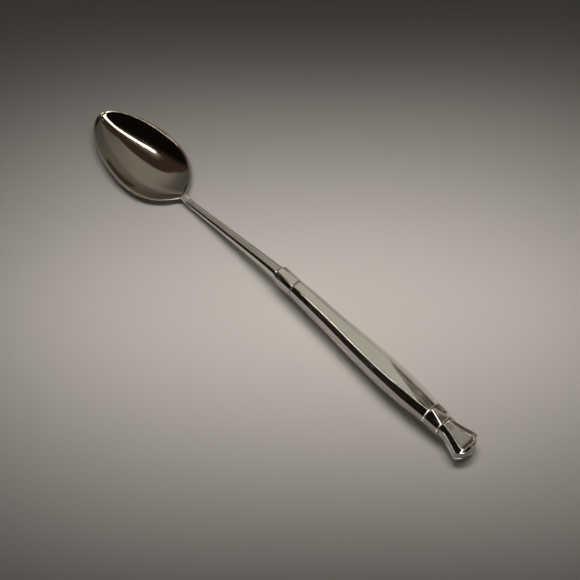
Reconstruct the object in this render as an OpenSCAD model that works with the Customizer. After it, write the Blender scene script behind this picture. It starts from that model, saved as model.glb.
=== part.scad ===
// Iced tea spoon with a hollow handle, lying on a table.
// The bowl points to -X and the handle to +X, and the spoon is alike on both sides of Y = 0.

/* [Overall] */
// Length from the tip of the bowl to the end of the handle
spoon_length = 200; // [185:1:215]

/* [Bowl] */
// Length of the bowl from its tip to the neck
bowl_length = 48.8; // [44:0.2:56]
// Width of the bowl over its rim
bowl_width = 28.8; // [24:0.1:34]
// Depth inside the bowl, below the rim
bowl_depth = 5.4; // [4:0.1:8]
// Thickness of the bowl at its bottom
bowl_wall = 1; // [0.7:0.05:1.6]
// Width of the flat edge round the rim
rim_width = 0.6; // [0.4:0.05:1.2]
// How much higher the rim lies at the tip than at the heel
rim_rise = 5.6; // [0:0.1:7]
// How far the rim dips between tip and heel
rim_dip = 0.5; // [0:0.1:1.5]

/* [Shank] */
// Width of the neck behind the bowl
neck_width = 3.2; // [2.6:0.1:4.2]
// Height of the neck behind the bowl
neck_height = 2.8; // [2.2:0.1:3.6]
// Width of the shank where it meets the ferrule
shank_width = 5.2; // [4.4:0.1:5.6]
// Height of the shank where it meets the ferrule
shank_height = 5; // [4.4:0.1:5.6]
// Height of the middle of the shank above the table at the ferrule
shank_lift = 10.3; // [9:0.1:13]
// Length of the tang inside the handle
tang_length = 46; // [30:1:60]
// Width of the tang at its root
tang_width = 3.2; // [2.6:0.1:3.4]
// Height of the tang at its root
tang_height = 2.6; // [2:0.1:3]

/* [Ferrule] */
// Length of the ferrule
ferrule_length = 8.3; // [6:0.1:11]
// Width of the ferrule over its sides
ferrule_width = 6.4; // [6:0.1:7.2]
// Height of the ferrule over its flat faces
ferrule_height = 6.9; // [6.4:0.1:7.6]
// Thickness of the solder between the ferrule and the handle
solder_width = 0.35; // [0.2:0.05:0.6]

/* [Handle] */
// Length from the front of the ferrule to the end of the handle
handle_length = 97.2; // [88:0.2:106]
// Width of the widest flat facet on top of the handle
facet_width = 5.5; // [4:0.1:6.4]
// Depth of the shallow hollow in that facet, which runs on over the knot and the fan
facet_dish = 0.1; // [0:0.05:0.2]
// Sideways width of the broadest bevel beside that facet
bevel_width = 2.4; // [1.6:0.05:2.8]
// Drop of the broadest bevel beside that facet
bevel_drop = 2; // [1.4:0.05:2.4]
// Height of the tallest side of one half shell
side_height = 2.8; // [2.4:0.05:3.6]
// How much wider each half shell is at the seam than at its bevel
side_draft = 0.35; // [0.1:0.05:0.6]
// Thickness of the handle shells
shell_wall = 0.7; // [0.5:0.05:0.9]
// Width of the solder line along each seam
seam_width = 0.2; // [0.15:0.05:0.4]
// Height of the middle of the handle above the table at its belly
belly_lift = 8.5; // [7:0.1:10]
// Height of the middle of the handle above the table at the knot
knot_lift = 7.9; // [6.5:0.1:9]

/* [Knot and fan] */
// Length of the faceted knot
knot_length = 6.9; // [4.4:0.1:8]
// Width of the flat facet at the rear of the knot, which starts as a point
knot_facet = 3.8; // [3:0.1:4.4]
// Width of the groove at each end of the knot
groove_width = 0.5; // [0.3:0.05:0.8]
// Depth of the groove at each end of the knot
groove_depth = 0.4; // [0.2:0.05:0.5]
// Length of the fan behind the knot
fan_length = 12.7; // [10:0.1:16]
// Width of the fan over its corners
fan_width = 11.2; // [9:0.1:13]
// Width of the panel on the fan
panel_width = 6.1; // [4:0.1:6.5]
// Greatest height of the sides of the fan above the seam
fan_side = 3.4; // [2.4:0.1:4]
// Drop of the bevel round the panel
fan_bevel = 1.3; // [0.9:0.1:1.8]

/* [Hidden] */

// How close the soldered and cemented faces lie
fit = 0.05;
// How far a cut runs past the face that it opens
overrun = 1;
// Distance along the spoon in which the flat neck becomes the round shank
neck_blend = 7;

// Places along the spoon
tip_x = -spoon_length / 2;
heel_x = tip_x + bowl_length;
end_x = spoon_length / 2;
ferrule_x = end_x - handle_length;
shell_x = ferrule_x + ferrule_length + solder_width;
fan_x = end_x - fan_length;
knot_x = fan_x - knot_length;
belly_x = (shell_x + knot_x) / 2;
fan_places = [for (k = [0:20]) blend(fan_x, end_x, k / 20)];

// Form of the bowl: how much fuller it is near the heel, and how the heel is drawn in
fullness_share = 0.29;
heel_share = 0.45;
// How much less steep the bowl's section gets towards the rim, and the power of its depth along its length
section_flare = 1;
depth_power = 0.8;
// Number of cross sections of the bowl, and the angle of the first, seen from the middle of the bowl
bowl_steps = 30;
first_angle = 5;
// Number of steps across the bowl and the shank
across = 20;
// Power of the shank's rounded section, and how near its edge the first points lie
shank_power = 2.4;
edge_share = 0.94;
crowding_share = 0.5;
// How wide the points lie on the flat ends of the bowl
parting_share = 0.5;
// How far the rim dips where there is no hollow, as a share of its width
least_dip_share = 0.06;
// How far the shank has risen halfway, and how much the tang narrows to its end
shank_rise_share = 0.56;
tang_taper_share = 0.48;

// How wide the shank is between neck and ferrule, as shares of its growth, at these shares of its length
shank_place_share = [0, 0.15, 0.38, 0.57, 0.76, 0.93, 1];
shank_growth_share = [0, -0.1, 0.1, 0.3, 0.5, 0.78, 1];

// Handle between ferrule and knot: shares of its length, and of each greatest size
handle_place_share = [0, 0.12, 0.27, 0.5, 0.68, 0.84, 0.97, 1];
handle_facet_share = [0.51, 0.53, 0.6, 0.86, 1, 0.92, 0.68, 0.62];
handle_bevel_share = [0.66, 0.77, 0.82, 0.87, 0.91, 0.98, 1, 1];
handle_side_share = [0.73, 0.86, 0.93, 0.98, 1, 0.88, 0.78, 0.76];

// Fan: shares of its length, and of its half width, its panel, its sides and its bevel
fan_place_share = [0, 0.13, 0.35, 0.6, 0.8, 0.86, 0.89, 0.92, 0.97, 1];
fan_width_share = [0.62, 0.61, 0.71, 0.88, 1, 0.86, 0.77, 0.67, 0.42, 0.12];
fan_panel_share = [0.34, 0.38, 0.54, 0.8, 1, 0.96, 0.72, 0.12, 0.04, 0.04];
fan_side_share = [0.74, 0.77, 0.85, 0.94, 1, 1, 1, 1, 1, 1];
fan_rise_share = [1, 1, 1, 1, 1, 1, 1, 0.96, 0.55, 0.2];

// Widest that the panel gets beside the fan, and how far the knot narrows towards the fan
panel_limit_share = 0.9;
knot_taper_share = 0.35;

// Ferrule: width of its flat facet at its front and rear, as shares of its width
ferrule_facet_share = [0.35, 0.5];
// Height of the ferrule's side, as a share of its height
ferrule_side_share = 0.6;

function blend(a, b, t) = a + (b - a) * t;
function clamp(t) = max(0, min(1, t));
function ease(t) = clamp(t) * clamp(t) * (3 - 2 * clamp(t));

// Slope of a table at one of its places
function slope(places, values, i) =
    let (last = len(places) - 1, a = max(i - 1, 0), b = min(i + 1, last))
    (values[b] - values[a]) / (places[b] - places[a]);

// Smooth curve through the values of a table
function curve(places, values, t) =
    let (
        last = len(places) - 1,
        below = [for (i = [0:last - 1]) if (places[i] <= t) i],
        i = len(below) == 0 ? 0 : below[len(below) - 1],
        step = places[i + 1] - places[i],
        u = clamp((t - places[i]) / step),
        rise_a = slope(places, values, i) * step,
        rise_b = slope(places, values, i + 1) * step,
        jump = values[i + 1] - values[i]
    )
    values[i] + u * (rise_a + u * (3 * jump - 2 * rise_a - rise_b + u * (rise_a + rise_b - 2 * jump)));

// Solid through a row of rings, each a list of points of the same length
module loft(rings) {
    count = len(rings[0]);
    last = len(rings) - 1;
    points = [for (ring = rings) for (point = ring) point];
    sides = [for (i = [0:last - 1]) for (j = [0:count - 1]) let (
            a = i * count + j,
            b = i * count + (j + 1) % count,
            c = b + count,
            d = a + count
        ) each [[a, d, c], [a, c, b]]];
    front = [for (j = [0:count - 1]) j];
    back = [for (j = [count - 1:-1:0]) last * count + j];
    polyhedron(points=points, faces=concat([front], sides, [back]));
}

// Half width of the egg shaped rim, as a share of its greatest
function egg(t) = t <= 0 || t >= 1 ? 0
    : pow(2 * sqrt(t * (1 - t)), 1 + heel_share * pow(t, 4)) * (1 + fullness_share * (t - 0.5));
// Depth along the bowl, as a share of its greatest
function hollow(t) = t <= 0 || t >= 1 ? 0 : pow(2 * sqrt(t * (1 - t)), depth_power + pow(t, 4));
// Depth across the bowl, as a share of its greatest, along a hyperbola
function trough(v) = let (most = norm([1, section_flare]))
    (most - norm([1, section_flare * v])) / (most - 1);

// The first and last section stand a little way in on the egg, so that they have some width
first_share = (1 - cos(first_angle)) / 2;
function bowl_share(x) = blend(first_share, 1 - first_share, clamp((x - tip_x) / bowl_length));
function inner_share(x) = (x - tip_x - rim_width) / (bowl_length - 2 * rim_width);
function rim_half(x) = norm([bowl_width / 2 * egg(bowl_share(x)), neck_width / 2 * pow(bowl_share(x), 6)]);
// Half width of the hollow, or of the points on the flat ends of the bowl, where there is no hollow
function inner_half(x) =
    let (half = rim_half(x), hollow_half = (bowl_width / 2 - rim_width) * egg(inner_share(x)))
    min(half * edge_share, max(hollow_half, half * parting_share));
function outer_depth(x) =
    norm([(bowl_depth + bowl_wall) * hollow(bowl_share(x)), neck_height * pow(bowl_share(x), 8)]);
function inner_depth(x) = max(bowl_depth * hollow(inner_share(x)), rim_width * least_dip_share);
function rim_line(x) = let (t = bowl_share(x)) rim_rise * (1 - t) - 4 * rim_dip * t * (1 - t);

bowl_places = [for (k = [0:bowl_steps]) let (a = blend(first_angle, 180 - first_angle, k / bowl_steps))
    tip_x + bowl_length * (1 - cos(a) / cos(first_angle)) / 2];
// The rim is raised so that the underside of the bowl touches the table
bowl_lift = -min([for (x = bowl_places) rim_line(x) - outer_depth(x)]);
function rim_z(x) = bowl_lift + rim_line(x);

// Places across a section, from one side to the other, closer together near the sides
sweep_share = [for (k = [0:across]) blend(1 - 2 * k / across, cos(180 * k / across), crowding_share)];

// Ring of the bowl: over the top from +Y to -Y, and back under it
function bowl_ring(x) = let (half = rim_half(x), inner = inner_half(x), z = rim_z(x)) concat(
    [[x, half, z]],
    [for (v = sweep_share) [x, inner * v, z - inner_depth(x) * trough(v)]],
    [[x, -half, z]],
    [for (k = [across - 1:-1:1]) let (v = sweep_share[k]) [x, half * v, z - outer_depth(x) * trough(v)]]
);

neck_z = rim_z(heel_x) - neck_height / 2;
// Height of the spoon's middle line behind the neck
line_places = [heel_x, (heel_x + ferrule_x) / 2, ferrule_x, belly_x, knot_x, end_x];
front_heights = [neck_z, blend(neck_z, shank_lift, shank_rise_share), shank_lift, belly_lift, knot_lift];
fan_rise = fan_side + fan_bevel;
// How far the fan would clear the table if its end stood at its full height
full_heights = concat(front_heights, [fan_rise]);
fan_gap = min([for (x = fan_places) curve(line_places, full_heights, x) - fan_sizes(x)[4]]);
line_heights = concat(front_heights, [fan_rise - fan_gap]);
function line_z(x) = curve(line_places, line_heights, x);

// Height across the shank's rounded section, as a share of its greatest
function barrel(v) = pow(1 - pow(abs(v), shank_power), 1 / shank_power);

// Ring of the shank, a rounded section that grows towards the ferrule
function shank_ring(x) =
    let (
        t = clamp((x - heel_x) / (ferrule_x - heel_x)),
        growth = curve(shank_place_share, shank_growth_share, t),
        half = blend(neck_width, shank_width, growth) / 2,
        rise = blend(neck_height, shank_height, growth) / 2,
        z = line_z(x)
    )
    concat(
        [[x, half, z]],
        [for (v = sweep_share) let (w = v * edge_share) [x, half * w, z + rise * barrel(w)]],
        [[x, -half, z]],
        [for (k = [across - 1:-1:1]) let (v = sweep_share[k]) [x, half * v, z - rise * barrel(v)]]
    );

// Sections of the shank, closer together where it leaves the bowl
shank_steps = 18;
shank_places = [for (k = [1:shank_steps]) blend(heel_x, ferrule_x, pow(k / shank_steps, 1.5))];
function neck_ring(x) =
    let (t = ease((x - heel_x) / neck_blend), bowl = bowl_ring(heel_x), shank = shank_ring(x))
    [for (k = [0:len(bowl) - 1]) [x, blend(bowl[k].y, shank[k].y, t), blend(bowl[k].z, shank[k].z, t)]];

module bowl_and_shank() color("silver") {
    loft(concat([for (x = bowl_places) bowl_ring(x)], [for (x = shank_places) neck_ring(x)]));
    tang(0);
}

// Tapered tang, or the space that it fills with some clearance round it
module tang(clearance) {
    function tang_ring(x, share) = let (
            half = tang_width / 2 * share + clearance,
            rise = tang_height / 2 * share + clearance
        )
        [[x, half, line_z(x) - rise], [x, half, line_z(x) + rise], [x, -half, line_z(x) + rise],
            [x, -half, line_z(x) - rise]];
    reach = tang_length + clearance;
    loft([for (k = [-1:8]) let (t = max(k, 0) / 8)
        tang_ring(ferrule_x + (k < 0 ? -overrun : reach * t), 1 - tang_taper_share * t)]);
}

// Section with eight facets: half widths at the seam, bevel and facet, and heights of bevel and facet
function facet_ring(x, seam, side, facet, rise, top) = let (z = line_z(x))
    [[x, seam, z], [x, side, z + rise], [x, facet, z + top], [x, -facet, z + top], [x, -side, z + rise],
        [x, -seam, z], [x, -side, z - rise], [x, -facet, z - top], [x, facet, z - top], [x, side, z - rise]];

module ferrule() color("gainsboro") difference() {
    half = ferrule_width / 2;
    top = ferrule_height / 2;
    loft([for (k = [0:4]) let (
            t = k / 4,
            x = ferrule_x + ferrule_length * t,
            facet = half * blend(ferrule_facet_share[0], ferrule_facet_share[1], t)
        )
        facet_ring(x, half, half - side_draft / 2, facet, top * ferrule_side_share, top)]);
    tang(fit);
}

// Sizes of the handle's section at a place: seam, bevel and facet half widths, and their heights
function handle_sizes(x) =
    let (
        t = clamp((x - shell_x) / (knot_x - shell_x)),
        facet = facet_width / 2 * curve(handle_place_share, handle_facet_share, t),
        bevel = bevel_width * curve(handle_place_share, handle_bevel_share, t),
        drop = bevel_drop * curve(handle_place_share, handle_bevel_share, t),
        side = side_height * curve(handle_place_share, handle_side_share, t)
    )
    [facet + bevel + side_draft, facet + bevel, facet, side, side + drop];
function fan_sizes(x) =
    let (
        t = clamp((x - fan_x) / fan_length),
        half = fan_width / 2 * curve(fan_place_share, fan_width_share, t),
        side = fan_side * curve(fan_place_share, fan_side_share, t),
        bevel = fan_bevel * curve(fan_place_share, fan_rise_share, t),
        facet = min(panel_width / 2 * curve(fan_place_share, fan_panel_share, t), half * panel_limit_share)
    )
    [half, half - side_draft / 3, facet, side, side + bevel];
// The knot's top facet grows from a point to its full width
function knot_sizes(x) =
    let (
        t = clamp((x - knot_x - groove_width) / (knot_length - 2 * groove_width)),
        a = handle_sizes(knot_x),
        b = fan_sizes(fan_x),
        mid = [for (k = [0:4]) blend(a[k], b[k], t * knot_taper_share)]
    )
    [mid[0], mid[1], blend(groove_depth, knot_facet / 2, t), mid[3], mid[4]];
function sunk(sizes) = [for (size = sizes) size - groove_depth];
function pared(sizes, cut) = [for (size = sizes) max(size - cut, fit)];

step_x = groove_width / 10;
body_stations = [for (k = [0:24]) let (x = blend(shell_x, knot_x, k / 24)) [x, handle_sizes(x)]];
knot_stations = concat(
    [for (x = [knot_x + step_x, knot_x + groove_width - step_x]) [x, sunk(handle_sizes(knot_x))]],
    [for (k = [0:6]) let (x = blend(knot_x + groove_width, fan_x - groove_width, k / 6)) [x, knot_sizes(x)]],
    [for (x = [fan_x - groove_width + step_x, fan_x - step_x]) [x, sunk(fan_sizes(fan_x))]]
);
fan_stations = [for (x = fan_places) [x, fan_sizes(x)]];
handle_stations = concat(body_stations, knot_stations, fan_stations);

// Upper or lower half of the handle's outside, cut back from the seam
module half_handle(sign, cut) {
    gap = seam_width / 2 + fit;
    loft([for (station = handle_stations) half_ring(station[0], pared(station[1], cut), sign, gap)]);
}
function half_ring(x, size, sign, gap) =
    let (
        z = line_z(x) + sign * gap,
        side = z + sign * (size[3] - gap),
        top = z + sign * (size[4] - gap),
        dish = facet_dish * size[2] / (facet_width / 2),
        up = [[x, size[0], z], [x, size[1], side], [x, size[2], top], [x, 0, top - sign * dish],
            [x, -size[2], top], [x, -size[1], side], [x, -size[0], z]]
    )
    sign > 0 ? up : [for (k = [len(up) - 1:-1:0]) up[k]];

// Space inside the two shells, with an extra margin taken off all round
module cavity(margin, front) {
    stop_x = fan_x + fan_length / 2 - margin;
    cut = shell_wall + margin;
    inner = concat(
        [[front, pared(handle_sizes(shell_x), cut)]],
        [for (k = [1:24]) let (x = blend(shell_x, knot_x, k / 24)) [x, pared(handle_sizes(x), cut)]],
        [for (k = [0:8]) let (x = blend(fan_x, stop_x, k / 8)) [x, pared(fan_sizes(x), cut + groove_depth)]]
    );
    loft([for (station = inner) let (size = station[1])
        facet_ring(station[0], size[0], size[1], size[2], size[3], size[4])]);
}

module handle_shell(sign) difference() {
    half_handle(sign, 0);
    cavity(0, shell_x - overrun);
}

// Solder between ferrule and handle, set back so that it leaves a groove
module ferrule_solder() color("darkgray") difference() {
    size = pared(handle_sizes(shell_x), groove_depth);
    loft([for (x = [shell_x - solder_width + fit, shell_x - fit])
        facet_ring(x, size[0], size[1], size[2], size[3], size[4])]);
    tang(fit);
}

// Solder line between the two shells, round both sides and the end of the cavity
module seam_solder() color("darkgray") difference() {
    loft([for (station = handle_stations) let (x = station[0], half = station[1][0] - fit, z = line_z(x))
        [[x, half, z - seam_width / 2], [x, half, z + seam_width / 2], [x, -half, z + seam_width / 2],
            [x, -half, z - seam_width / 2]]]);
    cavity(0, shell_x - overrun);
}

// Cement that fills the handle round the tang
module handle_filler() color("tan") difference() {
    cavity(fit, shell_x + fit);
    tang(fit);
}

module handle_front_shell() color("gainsboro") handle_shell(1);
module handle_back_shell() color("gainsboro") handle_shell(-1);

bowl_and_shank();
ferrule();
ferrule_solder();
handle_front_shell();
handle_back_shell();
seam_solder();
handle_filler();
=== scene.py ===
"""Visual model of an iced tea spoon: darker bowl, bright shank, hollow handle with knot and fan."""

import math

import bpy
from bpy.props import FloatProperty, FloatVectorProperty, IntProperty, PointerProperty
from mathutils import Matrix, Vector


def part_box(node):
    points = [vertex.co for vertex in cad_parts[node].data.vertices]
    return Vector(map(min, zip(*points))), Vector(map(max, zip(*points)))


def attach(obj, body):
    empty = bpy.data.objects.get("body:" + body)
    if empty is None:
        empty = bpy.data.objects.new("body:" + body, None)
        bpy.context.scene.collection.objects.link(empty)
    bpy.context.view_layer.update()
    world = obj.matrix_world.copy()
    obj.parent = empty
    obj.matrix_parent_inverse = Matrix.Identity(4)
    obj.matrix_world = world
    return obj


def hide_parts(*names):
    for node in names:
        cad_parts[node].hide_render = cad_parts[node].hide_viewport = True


bl_info = {
    "name": "Iced tea spoon",
    "version": (1, 0, 0),
    "blender": (4, 5, 0),
    "location": "3D View > Sidebar > Spoon",
    "description": "Builds an iced tea spoon on its packed model, with floor, light and camera",
    "category": "Add Mesh",
}

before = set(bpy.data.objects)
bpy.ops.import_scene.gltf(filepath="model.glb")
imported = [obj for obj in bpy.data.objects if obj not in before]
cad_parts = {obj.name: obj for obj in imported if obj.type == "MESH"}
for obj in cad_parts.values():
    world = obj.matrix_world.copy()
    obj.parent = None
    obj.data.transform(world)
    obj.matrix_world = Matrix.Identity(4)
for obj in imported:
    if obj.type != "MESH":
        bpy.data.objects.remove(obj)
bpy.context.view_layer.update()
BODY = "root"
MM = 0.001
# The bowl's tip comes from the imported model
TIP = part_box("bowl_and_shank")[0].x


# ---- node trees


class Wire:
    """One output of a node, so that a formula on it adds its Math nodes."""

    def __init__(self, tree, socket):
        self.tree, self.socket = tree, socket

    def math(self, operation, *values):
        return self.tree.add("ShaderNodeMath", {"operation": operation}, dict(enumerate(values)))

    def __add__(self, other):
        return self.math("ADD", self, other)

    def __sub__(self, other):
        return self.math("SUBTRACT", self, other)

    def __rsub__(self, other):
        return self.math("SUBTRACT", other, self)

    def __mul__(self, other):
        return self.math("MULTIPLY", self, other)

    def __truediv__(self, other):
        return self.math("DIVIDE", self, other)

    def __rtruediv__(self, other):
        return self.math("DIVIDE", other, self)

    __radd__ = __add__
    __rmul__ = __mul__


class Tree:
    """Builds one node tree."""

    def __init__(self, tree):
        self.tree = tree
        tree.nodes.clear()

    def add(self, kind, settings=None, values=None, out=0):
        """Adds a node, sets it up, then gives its sockets their values or links."""
        made = self.tree.nodes.new(kind)
        for name, value in (settings or {}).items():
            setattr(made, name, value)
        for key, value in (values or {}).items():
            if isinstance(value, Wire):
                self.tree.links.new(value.socket, made.inputs[key])
            else:
                made.inputs[key].default_value = value
        return Wire(self, made.outputs[out])

    def mix(self, a, b, share):
        """Mixes two colours."""
        colours = {key: c if isinstance(c, Wire) else (*c, 1) for key, c in ((6, a), (7, b))}
        return self.add("ShaderNodeMix", {"data_type": "RGBA"}, {0: share, **colours}, out=2)

    def split(self, vector):
        """The three numbers of a vector."""
        node = self.add("ShaderNodeSeparateXYZ", None, {0: vector}).socket.node
        return [Wire(self, socket) for socket in node.outputs]

    def noise(self, vector, scale, detail=2.0, roughness=0.5):
        """Soft noise from 0 to 1."""
        values = {"Vector": vector, "Scale": scale, "Detail": detail, "Roughness": roughness}
        return self.add("ShaderNodeTexNoise", None, values)

    def streaks(self, vector, factors, turn, scale, roughness=0.5):
        """Noise on coordinates that are stretched, and turned about the vertical."""
        values = {"Vector": vector, "Scale": factors, "Rotation": (0.0, 0.0, turn)}
        drawn = self.add("ShaderNodeMapping", None, values)
        return self.noise(drawn, scale, detail=3.0, roughness=roughness)

    def step(self, value, low, high):
        """0 below low, 1 above high, and a smooth rise between them."""
        settings = {"interpolation_type": "SMOOTHSTEP"}
        values = {"Value": value, "From Min": low, "From Max": high}
        return self.add("ShaderNodeMapRange", settings, values)


# ---- formulas of the spoon's form
# They take plain numbers or wires.


def pick(operation, plain, a, b):
    """A Math node if either is a wire, and else the plain result."""
    wire = next((value for value in (a, b) if isinstance(value, Wire)), None)
    return plain(a, b) if wire is None else wire.math(operation, a, b)


def low(a, b):
    return pick("MINIMUM", min, a, b)


def high(a, b):
    return pick("MAXIMUM", max, a, b)


def power(a, b):
    return pick("POWER", lambda x, y: max(x, 0.0) ** y, high(a, 0.0), b)


def root(a):
    return power(a, 0.5)


def norm(a, b):
    return root(a * a + b * b)


def clamp(t):
    return low(1.0, high(0.0, t))


def ease(t):
    t = clamp(t)
    return t * t * (3 - 2 * t)


def blend(a, b, t):
    return a + (b - a) * t


def curve(places, values, t):
    """Smooth curve through the values of a table."""
    last = len(places) - 1

    def slope(i):
        a, b = max(i - 1, 0), min(i + 1, last)
        return (values[b] - values[a]) / (places[b] - places[a])

    total = values[0]
    for i in range(last):
        step = places[i + 1] - places[i]
        u = clamp((t - places[i]) / step)
        rise_a, rise_b, jump = slope(i) * step, slope(i + 1) * step, values[i + 1] - values[i]
        square, cube = 3 * jump - 2 * rise_a - rise_b, rise_a + rise_b - 2 * jump
        total = total + u * (rise_a + u * (square + u * cube))
    return total


# Shares that give the bowl and the shank their form
FULLNESS, HEEL_DRAW = 0.29, 0.45
FLARE, DEPTH_POWER = 1.0, 0.8
PARTING, EDGE, LEAST_DIP, SHANK_POWER = 0.5, 0.94, 0.06, 2.4
SHANK_RISE, TANG_TAPER = 0.56, 0.48
SHANK_PLACES = [0, 0.15, 0.38, 0.57, 0.76, 0.93, 1]
SHANK_GROWTH = [0, -0.1, 0.1, 0.3, 0.5, 0.78, 1]

# Shares along the handle and the fan
HANDLE_PLACES = [0, 0.12, 0.27, 0.5, 0.68, 0.84, 0.97, 1]
HANDLE_FACET = [0.51, 0.53, 0.6, 0.86, 1, 0.92, 0.68, 0.62]
HANDLE_BEVEL = [0.66, 0.77, 0.82, 0.87, 0.91, 0.98, 1, 1]
HANDLE_SIDE = [0.73, 0.86, 0.93, 0.98, 1, 0.88, 0.78, 0.76]
FAN_PLACES = [0, 0.13, 0.35, 0.6, 0.8, 0.86, 0.89, 0.92, 0.97, 1]
FAN_WIDTH = [0.62, 0.61, 0.71, 0.88, 1, 0.86, 0.77, 0.67, 0.42, 0.12]
FAN_PANEL = [0.34, 0.38, 0.54, 0.8, 1, 0.96, 0.72, 0.12, 0.04, 0.04]
FAN_SIDE = [0.74, 0.77, 0.85, 0.94, 1, 1, 1, 1, 1, 1]
FAN_RISE = [1, 1, 1, 1, 1, 1, 1, 0.96, 0.55, 0.2]
PANEL_LIMIT, KNOT_TAPER = 0.9, 0.35
FERRULE_FACET = [0.35, 0.5]
FERRULE_SIDE = 0.6

# Rounded edges: most of a side that they take, the point on the flat beside them, the cut at an
# end, the share at the seam, and their limit as a share of the handle's section
MOST_ROUNDED, BESIDE, END_CUT, SEAM_EDGE, EDGE_LIMIT = 0.45, 1.5, 0.7, 0.35, 0.2
# Bottom and slope of the grooves, as shares of their width
GROOVE_BOTTOM, GROOVE_SLOPE = 0.05, 0.75
# Hollow in the top facet: most depth of the panel, reach on handle and knot, and the panel's wall
PANEL_DEPTH, HANDLE_REACH, KNOT_REACH, PANEL_WALL = 0.25, 0.72, 0.25, 1.2
# The knot's softer edges: how much softer, and shares of its length on which that fades
KNOT_SOFTNESS, SOFT_FROM, SOFT_FADE = 4.5, 0.15, 0.35
# Fineness of the mesh along the handle
HANDLE_STEPS, GROOVE_STEPS, KNOT_STEPS, FAN_STEPS = 120, 14, 24, 80
# Small distances that keep points and pieces apart
TINY, PLAY = 0.02 * MM, 0.05 * MM


def egg(t):
    """Half width of the bowl's outline, as a share of its greatest."""
    return power(2 * root(t * (1 - t)), 1 + HEEL_DRAW * power(t, 4)) * (1 + FULLNESS * (t - 0.5))


def hollow(t):
    """Depth along the bowl, as a share of its greatest."""
    return power(2 * root(t * (1 - t)), DEPTH_POWER + power(t, 4))


def trough(v):
    """Depth across the bowl, as a share of its greatest: a hyperbola, steepest at the rim."""
    most = norm(1.0, FLARE)
    return high(most - norm(1.0, FLARE * v), 0.0) / (most - 1)


def barrel(v):
    """Height across the shank, as a share of its greatest."""
    return power(1 - power(norm(v, 0.0), SHANK_POWER), 1 / SHANK_POWER)


class Bowl:
    """Half widths, depths and rim of the bowl at a share of its length."""

    def __init__(self, size):
        self.size = size

    def half(self, t):
        return norm(self.size["Bowl Width"] / 2 * egg(t), self.size["Neck Width"] / 2 * power(t, 6))

    def inner_share(self, t):
        length, rim = self.size["Bowl Length"], self.size["Rim Width"]
        return clamp((length * t - rim) / (length - 2 * rim))

    def inner_half(self, t):
        size, half = self.size, self.half(t)
        open_half = (size["Bowl Width"] / 2 - size["Rim Width"]) * egg(self.inner_share(t))
        return low(half * EDGE, high(open_half, half * PARTING))

    def outer_depth(self, t):
        size = self.size
        deep = (size["Bowl Depth"] + size["Bowl Wall"]) * hollow(t)
        return norm(deep, size["Neck Height"] * power(t, 8))

    def inner_depth(self, t):
        size = self.size
        return high(size["Bowl Depth"] * hollow(self.inner_share(t)), size["Rim Width"] * LEAST_DIP)

    def rim_line(self, t):
        return self.size["Rim Rise"] * (1 - t) - 4 * self.size["Rim Dip"] * t * (1 - t)


# ---- sizes and colours


def length_of(name, text, value):
    """A length that is given in millimetres and kept in metres."""
    kind = {"min": 0, "unit": "LENGTH", "precision": 5}
    return FloatProperty(name=name, description=text, default=value * MM, **kind)


def colour_of(name, text, value):
    """A colour."""
    kind = {"subtype": "COLOR", "min": 0, "max": 1}
    return FloatVectorProperty(name=name, description=text, default=value, **kind)


class BowlSizes(bpy.types.PropertyGroup):
    """Sizes of the bowl and the shank."""

    spoon_length: length_of("Spoon length", "Over all", 200)
    bowl_length: length_of("Bowl length", "From tip to neck", 48.8)
    bowl_width: length_of("Bowl width", "Over the rim", 28.8)
    bowl_depth: length_of("Bowl depth", "Inside the bowl, below the rim", 5.4)
    bowl_wall: length_of("Bowl wall", "Thickness at its bottom", 1)
    rim_width: length_of("Rim width", "Edge round the bowl", 0.36)
    rim_rise: length_of("Rim rise", "Tip of the rim above its heel", 5.6)
    rim_dip: length_of("Rim dip", "Between tip and heel", 0.5)
    rim_rounding: length_of("Rim rounding", "Radius of the rim's polished edges", 0.16)
    neck_width: length_of("Neck width", "Behind the bowl", 3.2)
    neck_height: length_of("Neck height", "Behind the bowl", 2.8)
    neck_blend: length_of("Neck blend", "Length in which neck becomes shank", 7)
    shank_width: length_of("Shank width", "At the ferrule", 5.2)
    shank_height: length_of("Shank height", "At the ferrule", 5)
    shank_lift: length_of("Shank lift", "Middle above the table at the ferrule", 10.3)
    tang_length: length_of("Tang length", "Inside the handle", 46)
    tang_width: length_of("Tang width", "At its root", 3.2)
    tang_height: length_of("Tang height", "At its root", 2.6)
    rings: IntProperty(name="Rings", description="Sections along the bowl", default=120, min=20)
    points_across: IntProperty(name="Points across", description="In a section", default=36, min=12)


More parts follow.
